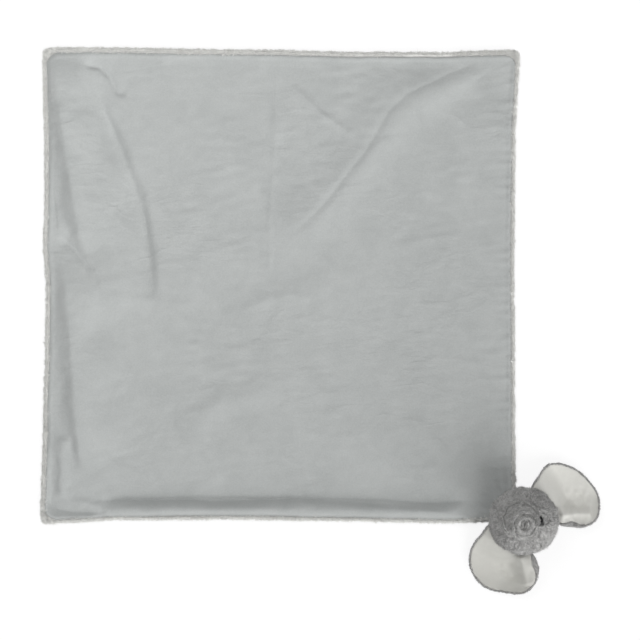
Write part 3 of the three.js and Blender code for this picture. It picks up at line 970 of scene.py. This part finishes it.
def makeStitch(name, length, thickness):
    bpy.ops.object.select_all(action="DESELECT")
    bpy.ops.mesh.primitive_cylinder_add(vertices=6, radius=thickness / 2, depth=length)
    stitch = bpy.context.object
    stitch.name = name
    stitch.rotation_euler = (0, math.pi / 2, 0)
    bpy.ops.object.transform_apply()
    pickEnds(stitch)
    bpy.ops.mesh.extrude_faces_move(TRANSFORM_OT_shrink_fatten={"value": thickness * stitchEnd["step"]})
    pickEnds(stitch)
    bpy.ops.transform.resize(value=(1, stitchEnd["narrow"], stitchEnd["narrow"]), center_override=(0, 0, 0))
    bpy.ops.object.mode_set(mode="OBJECT")
    return smoothShaded(stitch)


def copiedAlong(stitch, places):
    copies = []
    for spot, way in places:
        one = stitch.copy()
        one.data = stitch.data.copy()
        one.location = spot
        one.rotation_euler = Vector(way).to_track_quat("X", "Z").to_euler()
        bpy.context.scene.collection.objects.link(one)
        copies.append(one)
    name = stitch.name
    bpy.data.objects.remove(stitch)
    row = joined(copies[0], *copies[1:])
    bpy.ops.object.transform_apply()
    row.name = name
    clothed(row, "thread")
    return row


def makeEdgeSeam():
    reach = blanket["half"] - blanket["seamCorner"] * 1.2
    steps = int(2 * reach / edgeStitch["pitch"])
    spots, ways = [], []
    for side, name in enumerate(("bottom", "right", "top", "left")):
        c, s = math.cos(side * math.pi / 2), math.sin(side * math.pi / 2)
        half = blanket["half"] - blanket["seamIn"][name] + edgeStitch["out"]
        for t in np.linspace(-reach, reach, steps):
            spots.append((t * c + half * s, t * s - half * c, 0))
            ways.append((c, s, 0))
    spots = np.array(spots)
    kept = toHead(spots)[:, 1] > edgeStitch["endsAt"]
    spots[:, 2] = edgeStitch["height"]
    spots = pressed(swayed(spots))
    stitch = makeStitch("edge_stitches", edgeStitch["length"], edgeStitch["thickness"])
    return copiedAlong(stitch, [(s, w) for s, w, k in zip(spots, ways, kept) if k])


edgeSeam = makeEdgeSeam()
print("edge seam made")


# Trunk: a stubby stuffed tube whose root spreads on the face and whose gathered end is turned in

trunk = {
    "root": (-0.0010, 0.0108),
    "tip": (-0.0022, 0.0092),
    "muzzle": (0, 0.0100, 0.0257),      # way in which the face rises, from the head's middle
    # height over the floor and radius, from the root up to the gathered end
    "profile": [
        (0.0600, 0.0184), (0.0640, 0.0202), (0.0680, 0.0200), (0.0702, 0.0184), (0.0694, 0.0168),
        (0.0678, 0.0156), (0.0686, 0.0148), (0.0712, 0.0146), (0.0760, 0.0146), (0.0800, 0.0145),
        (0.0845, 0.0143), (0.0890, 0.0141), (0.0930, 0.0139), (0.0962, 0.0135), (0.0990, 0.0127),
        (0.1008, 0.0118), (0.1012, 0.0111), (0.0996, 0.0103), (0.0994, 0.0095), (0.1016, 0.0086),
        (0.1028, 0.0072), (0.1020, 0.0059), (0.0996, 0.0051), (0.0992, 0.0042), (0.1006, 0.0028),
        (0.0985, 0.0012),
    ],
    "follow": (1.0, 0.7, 0.3, 0.1),        # how far its first rings follow the head's surface
    "rings": 100,
    "around": 84,
    # heights between which its middle goes from over the root to the tip, and its rings tilt
    "shift": (0.066, 0.1034),
    "tilted": (0.088, 0.102),
    "creases": 3.4,
    "creaseDepth": 0.0014,
    "creaseStart": 0.068,
    "creaseSpan": 0.034,
    "creaseSway": (0.8, 0.5),
    "creased": (0.068, 0.074, 0.099, 0.1025),        # heights where the creases begin, are full, ease and end
    "bulge": 0.0038,          # of the trunk's lower side, over the left eye
    "bulgeTurn": -2.15,
    "bulgeHeight": 0.087,
    "bulgeSpread": 0.009,
    "tilt": 0.28,
    "pleats": 7,
    "pleatDepth": 0.0010,
    "pleatSway": 1.5,
    "pleated": (0.002, 0.009),        # radii between which the pleats fade out
    "sunk": 0.0012,           # of its root in the face
    "lumps": 0.0010,
    "lumpSize": 0.010,
    "hole": 0.0135,           # in the head's skin, under the trunk
    "pile": {"length": 0.0015, "thick": 0.0007, "lean": 0.8, "clump": 0.005, "stray": 0.35, "combed": 0.9},
    "tufts": 11000,
    "bend": [(0, 0.010, 0.060), (0, 0.010, 0.082)],        # where it starts and ends
}

eye = {
    "place": (0.0113, -0.0056),
    "radius": 0.0048,
    "rise": 0.0019,
    "dome": 0.35,
    "sunk": 0.0010,
    "strands": 17,
    "strandWidth": 0.62,      # as a share of the distance between two
    "clear": 0.0062,          # round it there are no tufts
    "spin": Vector((0, 0, 1)).to_track_quat("Z", "Y"),        # half a turn about z
}
gussetRise = math.asin(head["gusset"] / (head["size"][0] / 2))
headMiddle = head["size"][2] / 2 - head["flat"]


# Head

def headRadius(ways):
    muzzle = np.array(trunk["muzzle"]) / np.linalg.norm(trunk["muzzle"])
    turn = np.arccos(np.clip(ways @ muzzle, -1, 1)) / head["swellSpread"]
    form = 1 / np.linalg.norm(ways / (np.array(head["size"]) / 2), axis=1)
    form = form * (1 - 2 * head["skew"] * ways[:, 0] * ways[:, 1])
    return form + head["swell"] * np.exp(-turn * turn)


# Height of the face over a place on it
def faceHeight(x, y):
    z = np.full(len(x), head["size"][2] / 2 * 0.9)
    for _ in range(8):
        radius = headRadius(unit(np.column_stack([x, y, z])))
        z = np.sqrt(np.maximum(radius ** 2 - x ** 2 - y ** 2, 1e-6))
    return z + headMiddle


# The head rests on the floor, and on the blanket's corner where that goes into its neck
def neckFloor(points):
    outside = np.abs(toWorld(points)[:, :2]).max(axis=1) - blanket["half"]
    return head["rest"] + head["onCorner"] * (1 - smooth(*head["cornerEdge"], outside))


def headSkin(rise, turn, depth=0.0, lumps=None):
    ways = np.column_stack([np.sin(rise), np.cos(rise) * np.cos(turn), np.cos(rise) * np.sin(turn)])
    points = ways * (headRadius(ways) - depth)[:, None]
    points[:, 2] += headMiddle
    points += ways * ((lumps or head["lumps"]) * hills(points, head["lumpSize"], 61))[:, None]
    points[:, 2] = np.maximum(points[:, 2], neckFloor(points) + depth)
    return points


def eyeWays():
    x, y = eye["place"]
    spots = np.array([(x, y, 0.0), (-x, y, 0.0)])
    spots[:, 2] = faceHeight(spots[:, 0], spots[:, 1]) - headMiddle
    return unit(spots)


# Where the head's pile grows: not on the underside, the eyes or beneath the trunk
def onHead(centres, normals):
    local = toHead(centres)
    underTrunk = np.hypot(*(local[:, :2] - trunk["root"]).T) < trunk["hole"]
    spots = local - [0, 0, headMiddle]
    onEye = np.zeros(len(local), bool)
    for way in eyeWays():
        onEye |= np.linalg.norm(spots - way * headRadius(way[None])[0], axis=1) < eye["clear"]
    low = local[:, 2] < neckFloor(local) + head["bald"]
    return ~(underTrunk & (local[:, 2] > head["faceFrom"]) | onEye | low & (normals[:, 2] < -0.9))


# One panel between rows of the head that run from the crown over the face to the chin
def headPanel(name, node, rises, turns, closed, tufts, seed):
    rise, turn = grid(rises, turns)
    points = headSkin(rise, turn)
    seam = np.exp(-((np.abs(rise) - gussetRise) / head["seamWidth"]) ** 2)
    if not closed:
        fromEnd = np.minimum(turn - turns[0], turns[-1] - turn)
        seam = np.maximum(seam, np.exp(-(fromEnd / head["seamWidth"]) ** 2))
    points += unit(np.array([0, 0, headMiddle]) - points) * (head["seamDepth"] * seam)[:, None]
    columns = len(turns)
    faces = gridFaces(len(rises), columns, closed)
    if closed:                # the side panels end in a point under the ear
        last = (len(rises) - 2) * columns
        pole = last + columns
        points = points[:pole + 1]
        faces = [f for f in faces if max(f) < pole] + fan(last, columns, pole)
    centres = np.array([points[list(f)].mean(axis=0) for f in faces])
    away = np.hypot(*(centres[:, :2] - trunk["root"]).T)
    shown = (away > trunk["hole"] - 0.001) | (centres[:, 2] < head["faceFrom"])
    piece = newObject(name, toWorld(points), [f for f, s in zip(faces, shown) if s])
    chosen(piece)
    bpy.ops.object.mode_set(mode="EDIT")
    bpy.ops.mesh.select_all(action="SELECT")
    bpy.ops.mesh.delete_loose()
    bpy.ops.object.mode_set(mode="OBJECT")
    outward(piece, toWorld([(0, 0, headMiddle)])[0])
    spots, normals = scatter(piece, tufts, seed, onHead)
    thicken(piece, head["skin"])
    markCloth(piece, head["skinPaintedShade"])
    combed = spots - toWorld([(*trunk["root"], 0.07)])[0]
    pile = growPile(name + "_pile", spots, normals, head["pile"], seed + 1, unit(combed))
    softenShading(clothed(joined(piece, pile), "head"))
    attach(piece, "head")
    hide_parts(node)
    return piece


around = turnsRound(head["around"])
sideRises = np.linspace(gussetRise, math.pi / 2, head["rowsSide"])
middleRises = np.linspace(-gussetRise, gussetRise, head["rowsMiddle"])
chinTurns = np.linspace(head["chinStart"], head["chinEnd"], head["chinColumns"])
gussetTurns = np.linspace(head["chinEnd"], head["chinStart"] + 2 * math.pi, head["gussetColumns"])
headPanel("head_panel_right", "head_side_right", sideRises, around, True, head["tufts"]["side"], 71)
headPanel("head_panel_left", "head_side_left", -sideRises, around, True, head["tufts"]["side"], 81)
headPanel("crown_panel", "head_gusset", middleRises, gussetTurns, False, head["tufts"]["gusset"], 91)
headPanel("chin_panel_plush", "chin_panel", middleRises, chinTurns, False, head["tufts"]["chin"], 101)
print("head panels made")


# Trunk skin, or with a depth the stuffing in it
def trunkForm(name, depth):
    profile = np.array(trunk["profile"])
    follow = np.zeros(len(profile))
    follow[:len(trunk["follow"])] = trunk["follow"]
    gaps = np.linalg.norm(np.diff(profile, axis=0), axis=1)
    stations = np.concatenate([[0], np.cumsum(gaps)])
    share = np.linspace(0, stations[-1], trunk["rings"])
    height, radius, follow = (np.interp(share, stations, row)[:, None] for row in (*profile.T, follow))
    turn = turnsRound(trunk["around"])[None]
    rise = smooth(*trunk["shift"], height)
    middleX, middleY = (root + (tip - root) * rise for root, tip in zip(trunk["root"], trunk["tip"]))
    begin, full, ease, end = trunk["creased"]
    ringed = smooth(begin, full, height) * (1 - smooth(ease, end, height))
    climb = trunk["creases"] * 2 * math.pi * (height - trunk["creaseStart"]) / trunk["creaseSpan"]
    once, twice = trunk["creaseSway"]
    wave = np.sin(climb + once * np.sin(turn + 0.5) + twice * np.sin(2 * turn))
    bulge = trunk["bulge"] * np.exp(-(((height - trunk["bulgeHeight"]) / trunk["bulgeSpread"]) ** 2))
    bulge = bulge * np.maximum(0, np.cos(turn - trunk["bulgeTurn"])) ** 2
    size = radius + bulge + trunk["creaseDepth"] * ringed * wave - depth
    x = middleX + size * np.cos(turn)
    y = middleY + size * np.sin(turn)
    tipped = smooth(*trunk["tilted"], height)
    ended = 1 - smooth(*trunk["pleated"], radius)
    pleats = 0.5 + 0.5 * np.cos(trunk["pleats"] * turn + trunk["pleatSway"] * np.sin(turn))
    z = height + trunk["tilt"] * (y - middleY) * tipped
    z = z - trunk["pleatDepth"] * pleats * ended - depth * tipped
    onFace = faceHeight(x.ravel(), y.ravel()).reshape(x.shape) - trunk["sunk"]
    z = z * (1 - follow) + (onFace - depth) * follow
    points = np.column_stack([x.ravel(), y.ravel(), z.ravel()])
    lumps = trunk["lumps"] * (1 - follow) * np.ones_like(x)
    uneven = np.column_stack([hills(points, trunk["lumpSize"], 113 + k) for k in range(3)])
    points += lumps.reshape(-1, 1) * uneven
    rings, columns = x.shape
    faces = gridFaces(rings, columns, True)
    last = (rings - 1) * columns
    points = np.vstack([points, points[last:].mean(axis=0) - [0, 0, 0.0005], points[:columns].mean(axis=0)])
    faces += fan(last, columns, len(points) - 2)
    if depth:                 # the stuffing is closed below
        faces += [(b, a, tip) for a, b, tip in fan(0, columns, len(points) - 1)]
    else:
        points = points[:-1]
    piece = newObject(name, toWorld(points), faces)
    outward(piece, toWorld([(*trunk["root"], 0.085)])[0])
    return smoothShaded(piece)


def finishTrunk(piece, node):
    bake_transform(piece)
    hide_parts(node)


def makeTrunk():
    def overFace(centres, normals):
        return centres[:, 2] > head["faceFrom"]

    piece = trunkForm("trunk_plush", 0)
    spots, normals = scatter(piece, trunk["tufts"], 111, overFace)
    thicken(piece, head["skin"])
    markCloth(piece, head["skinPaintedShade"])
    fromAxis = unit((toHead(spots) - [*trunk["root"], 0]) * [1, 1, 0])
    swirl = np.column_stack([-fromAxis[:, 1], fromAxis[:, 0], np.zeros(len(spots))])
    pile = growPile("trunk_pile", spots, normals, trunk["pile"], 112, turnedToWorld(swirl))
    softenShading(clothed(joined(piece, pile), "trunk"))
    finishTrunk(piece, "trunk_skin")


makeTrunk()
print("trunk made")


# Stuffing: lumpy fibre inside the head and the trunk

filling = {"under": 0.0024, "lumps": 0.0008, "rows": 40, "around": 72}


def makeHeadFilling():
    rises = np.linspace(-math.pi / 2, math.pi / 2, filling["rows"])[1:-1]
    turns = turnsRound(filling["around"])
    rise, turn = grid(rises, turns)
    points = headSkin(rise, turn, filling["under"], filling["lumps"])
    columns, rows = len(turns), len(rises)
    faces = gridFaces(rows, columns, True)
    ends = [points[:columns].mean(axis=0), points[-columns:].mean(axis=0)]
    points = np.vstack([points, ends])
    last = (rows - 1) * columns
    faces += [(b, a, tip) for a, b, tip in fan(0, columns, len(points) - 2)]
    faces += fan(last, columns, len(points) - 1)
    piece = newObject("head_filling", toWorld(points), faces)
    outward(piece, toWorld([(0, 0, headMiddle)])[0])
    clothed(piece, "filling")
    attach(smoothShaded(piece), "head")
    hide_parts("head_stuffing")


makeHeadFilling()
trunkFilling = trunkForm("trunk_filling", filling["under"])
clothed(trunkFilling, "filling")
finishTrunk(trunkFilling, "trunk_stuffing")
print("stuffing made")


# Eyes: satin stitch, long threads laid side by side over the pad

def makeEye(name, node, way):
    radius = headRadius(way[None])[0]
    threads = []
    pitch = 2 * eye["radius"] / eye["strands"]
    for k in range(eye["strands"]):
        across = (k + 0.5) * pitch - eye["radius"]
        chord = math.sqrt(eye["radius"] ** 2 - across ** 2)
        bpy.ops.object.select_all(action="DESELECT")
        bpy.ops.mesh.primitive_uv_sphere_add(segments=10, ring_count=14, radius=1, location=(across, 0, 0))
        thread = bpy.context.object
        rise = eye["rise"] + eye["dome"] * chord * chord / eye["radius"]
        thread.scale = (pitch * eye["strandWidth"], rise, chord)
        thread.rotation_euler = (math.pi / 2, 0, 0)
        bpy.ops.object.transform_apply()
        threads.append(thread)
    pad = joined(threads[0], *threads[1:])
    pad.name = name
    spot = Vector(way) * (radius - eye["sunk"]) + Vector((0, 0, headMiddle))
    pad.location = toWorld([spot])[0]
    pad.rotation_euler = (eye["spin"] @ Vector(way).to_track_quat("Z", "Y")).to_euler()
    bpy.ops.object.transform_apply()
    bpy.ops.object.select_all(action="DESELECT")
    clothed(pad, "eye")
    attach(smoothShaded(pad), "head")
    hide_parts(node)


for name, node, way in zip(("eye_pad_right", "eye_pad_left"), ("eye_right", "eye_left"), eyeWays()):
    makeEye(name, node, way)
print("eyes made")


# Ears, laid flat and cupped: a plush back whose edge wraps round a velour front.
# Outlines, lines and heights are in mm, x away from the head's middle on the ear's own side

ear = {
    "reach": 34,
    "turn": math.radians(-15),
    "rootHeight": 20,
    "lieHeight": 2,
    "drop": 24,
    "cup": 5,
    "curl": 7,
    "curlFrom": -15,
    "curlTo": -45,
    "lumps": (0.5, 30),
    "lowest": 0.5,
    "rings": 24,
    "around": 160,
    # how far in from the outline, how high, and its share of the tuck
    "frontEdge": [(5.0, 3.6, 1), (3.2, 3.6, 1), (1.9, 3.4, 1), (1.2, 2.9, 1)],
    "lip": [(1.6, 0.0, 0), (0.8, 0.3, 0), (0.3, 1.0, 0), (0.1, 1.9, 0), (0.2, 2.7, 0.1), (0.4, 3.2, 0.3),
            (0.7, 3.3, 0.6), (1.0, 3.0, 0.9), (1.3, 2.4, 1)],
    "tuck": 5.0,              # the plush border is wider near the root, on the crown's side
    "tuckReach": 10.0,
    "bend": (-5, 9),          # where it starts and ends, out from the reach
    "bendHeight": 0.0245,     # in m
    "pileFrom": 0.031,        # in m, from the head's middle
    "backCloth": 1.2,
    "frontCloth": 1.1,
    # painted shade on the cloth under the pile
    "clothPaintedShade": 0.3,
    "tufts": 7500,
    "pile": {"length": 0.0012, "thick": 0.0007, "lean": 0.7, "clump": 0.005, "stray": 0.5},
    "right": {
        "middle": (53, -17),
        "tuckAt": (34, -42),
        "outline": [
            (21, -22), (23, 0), (26, 14), (33, 17.8), (43, 19.6), (52, 20.8), (61, 19.4), (69, 12.9),
            (74, 4.8), (78.2, -6.1), (79.3, -15.4), (78.9, -24.8), (77.4, -35.3), (74.4, -42.7),
            (68.1, -49.9), (59.1, -55.8), (51.2, -57), (44.1, -55.1), (37, -50.2), (31.8, -43.5),
            (27.3, -37.5), (23.9, -31.4),
        ],
        # as the blanket's folds, from their rise on
        "pleats": [
            (7, 10, 6, 7, 1.4, [(29, -23), (38, -30), (47, -39), (58, -51)]),
            (-3, 9, 7, 9, 2, [(38, -17), (52, -29), (64, -43)]),
        ],
    },
    "left": {
        "middle": (52, -20),
        "tuckAt": (23, -44),
        "outline": [
            (18, -22), (20, 2), (23, 17), (30, 21), (40, 19.4), (49.5, 18.2), (60.0, 14.1), (69.6, 7.6),
            (75.3, 0.7), (79, -9.1), (79.8, -20.3), (77.5, -30), (73.8, -36.8), (68.5, -43.5), (61.1, -52.5),
            (53.2, -58.1), (43.8, -59.2), (35.6, -57), (27.5, -51.7), (22.8, -46), (18.8, -36.8),
        ],
        "pleats": [
            (6.5, 5, 9, 7, 1.4, [(27, -21), (32.3, -31.3), (39, -42.5), (48, -57)]),
            (-3, 8, 5, 9, 2, [(37, -19), (45, -33), (53, -48)]),
        ],
    },
}


def roundedLine(corners, count):
    p = np.array(corners, float)
    share = np.linspace(0, len(p), count, endpoint=False)
    k, t = share.astype(int), (share % 1)[:, None]
    a, b, c, d = (p[(k + step) % len(p)] for step in (-1, 0, 1, 2))
    square, cube = 2 * a - 5 * b + 4 * c - d, 3 * b - a - 3 * c + d
    return 0.5 * (2 * b + (c - a) * t + square * t ** 2 + cube * t ** 3)


def earHeight(side, points, share):
    c, s = math.cos(ear["turn"]), math.sin(ear["turn"])
    x, y = points.T
    out, along = x * c + y * s - ear["reach"], y * c - x * s
    down = 1 - smooth(0, ear["drop"], out)
    curled = 1 - smooth(ear["curlTo"], ear["curlFrom"], along)
    height = ear["lieHeight"] + (ear["rootHeight"] - ear["lieHeight"]) * down
    height = height + (1 - down) * (ear["cup"] * share ** 3 + ear["curl"] * curled * share ** 2)
    for pleat in ear[side]["pleats"]:
        height = height + foldHeight(points, *pleat)
    height = height + rough(flattened(points), ear["lumps"], 131)
    return np.maximum(height, ear["lowest"])


# Rings of an ear's cloth from its middle out, then the given steps in from its outline
def earRings(side, ends):
    own = ear[side]
    outline = roundedLine(own["outline"], ear["around"])
    middle = np.array(own["middle"], float)
    spokes = outline - middle
    reach = np.linalg.norm(spokes, axis=1)[:, None]
    rows = []
    gap = np.linalg.norm(outline - own["tuckAt"], axis=1)[:, None]
    tuck = ear["tuck"] * np.exp(-((gap / ear["tuckReach"]) ** 2))
    inner = (reach - ends[0][0] - ends[0][2] * tuck) / reach
    for ring in range(1, ear["rings"]):
        share = inner * ring / ear["rings"]
        rows.append((middle + spokes * share, share[:, 0], ends[0][1]))
    for inset, up, tucked in ends:
        share = (reach - inset - tucked * tuck) / reach
        rows.append((middle + spokes * share, share[:, 0], up))
    points = [np.array([*middle, earHeight(side, middle[None], np.zeros(1))[0] + ends[0][1]])[None]]
    for spots, share, up in rows:
        points.append(np.column_stack([spots, earHeight(side, spots, np.minimum(share, 1)) + up]))
    points = np.concatenate(points) / 1000
    count = ear["around"]
    faces = [(0, 1 + (k + 1) % count, 1 + k) for k in range(count)]
    faces += [tuple(1 + i for i in f) for f in gridFaces(len(rows), count, True)]
    if side == "left":
        points[:, 0] *= -1
    return points, faces


def finishEar(piece):
    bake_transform(piece)


def makeEar(side):
    name = "ear_" + side
    points, faces = earRings(side, ear["lip"])
    back = newObject(name + "_plush", toWorld(points), faces)
    outward(back, toWorld([points[0] + [0, 0, 0.003]])[0])
    smoothShaded(back)
    seed = 141 if side == "right" else 151

    def clearOfHead(centres, normals):
        local = toHead(centres) - [0, 0, headMiddle]
        return np.linalg.norm(local, axis=1) > ear["pileFrom"]

    spots, normals = scatter(back, ear["tufts"], seed, clearOfHead)
    pile = growPile(name + "_pile", spots, normals, ear["pile"], seed + 1)
    thicken(back, ear["backCloth"] / 1000)
    markCloth(back, ear["clothPaintedShade"])
    for piece in (back, pile):
        softenShading(clothed(piece, "head"))
        finishEar(piece)
    points, faces = earRings(side, ear["frontEdge"])
    velour = newObject(name + "_velour", toWorld(points), faces)
    if velour.data.polygons[0].normal.z < 0:
        velour.data.flip_normals()
    thicken(velour, ear["frontCloth"] / 1000)
    # the left ear's velour is the same cloth painted darker, as painted shade
    clothed(velour, "ear" if side == "right" else "earPaintedShade")
    finishEar(velour)
    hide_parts(name + "_back")
    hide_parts(name + "_front")


makeEar("right")
makeEar("left")
print("ears made")


# Stitches that close the neck on the blanket's corner

neckStitch = {
    "count": 22,
    "spread": 1.2,
    "length": 0.0028,
    "thickness": 0.0007,
    "out": 0.030,
    "height": 0.0112,
    "above": 0.0006,          # the skin
    "slant": 0.5,
}


def makeNeckStitches():
    places = []
    drop = neckStitch["height"] - headMiddle
    for turn in np.linspace(-neckStitch["spread"] / 2, neckStitch["spread"] / 2, neckStitch["count"]):
        low = unit(np.array([[math.sin(turn) * neckStitch["out"], math.cos(turn) * neckStitch["out"], drop]]))
        spot = low[0] * (headRadius(low)[0] + neckStitch["above"]) + [0, 0, headMiddle]
        slanted = turn + neckStitch["slant"]
        way = turnedToWorld([(math.cos(slanted), -math.sin(slanted), 0)])[0]
        places.append((toWorld([spot])[0], way))
    stitch = makeStitch("neck_stitches", neckStitch["length"], neckStitch["thickness"])
    row = copiedAlong(stitch, places)
    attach(row, "head")
    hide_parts("neck_stitch")


makeNeckStitches()
print("neck stitches made")


# The blanket's pieces are fixed in place, and the parts that they stand for are hidden

for piece in [backPanel] + rimPiles:
    softenShading(piece)
for piece, slot, nodes in (
    (frontPanel, "short_pile", ("blanket_front", "corner_front")),
    (backPanel, "long_pile", ("blanket_back", "corner_back")),
    (edgeSeam, "sewing_thread", ("edge_seam",)),
    *((pile, "long_pile", ()) for pile in rimPiles),
):
    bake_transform(piece)
    if nodes:
        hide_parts(*nodes)
